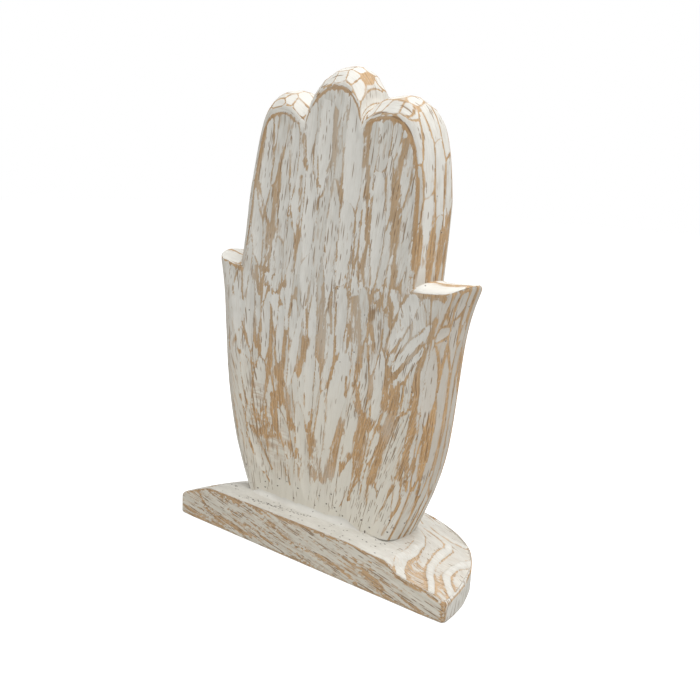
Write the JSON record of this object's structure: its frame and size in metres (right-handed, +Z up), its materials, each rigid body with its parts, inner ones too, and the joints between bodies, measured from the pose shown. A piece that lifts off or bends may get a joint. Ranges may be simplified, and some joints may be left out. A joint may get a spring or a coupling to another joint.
{
  "type": "carved hand ornament",
  "caption": "Whitewashed carved wooden open hand with round fingertips and outward-curving thumbs, standing upright on a half-moon base as a shelf ornament.",
  "frame": {"origin": "on the underside of the base, at the middle of the part's box", "axes": "+Z up along the hand; the straight face of the base and the pictured face of the hand look along -Y; the curved edge of the base looks along +Y"},
  "size_m": [0.19, 0.09, 0.253],
  "materials": {
    "hand_wood": "white wash brushed into gouge-carved wood and rubbed through to tan on the ridges",
    "base_wood": "white wash brushed into open grain, worn to tan along the edges",
    "filler": "matt white wood filler",
    "dowel_wood": "plain turned hardwood",
    "screw_steel": "zinc-plated steel"
  },
  "bodies": {
    "root": {"carved_hand": "hand_wood", "half_moon_base": "base_wood", "seam_filler_rear": "filler", "seam_filler_front": "filler", "dowel_left": "dowel_wood", "dowel_right": "dowel_wood", "screw_left": "screw_steel", "screw_right": "screw_steel"}
  },
  "joints": []
}
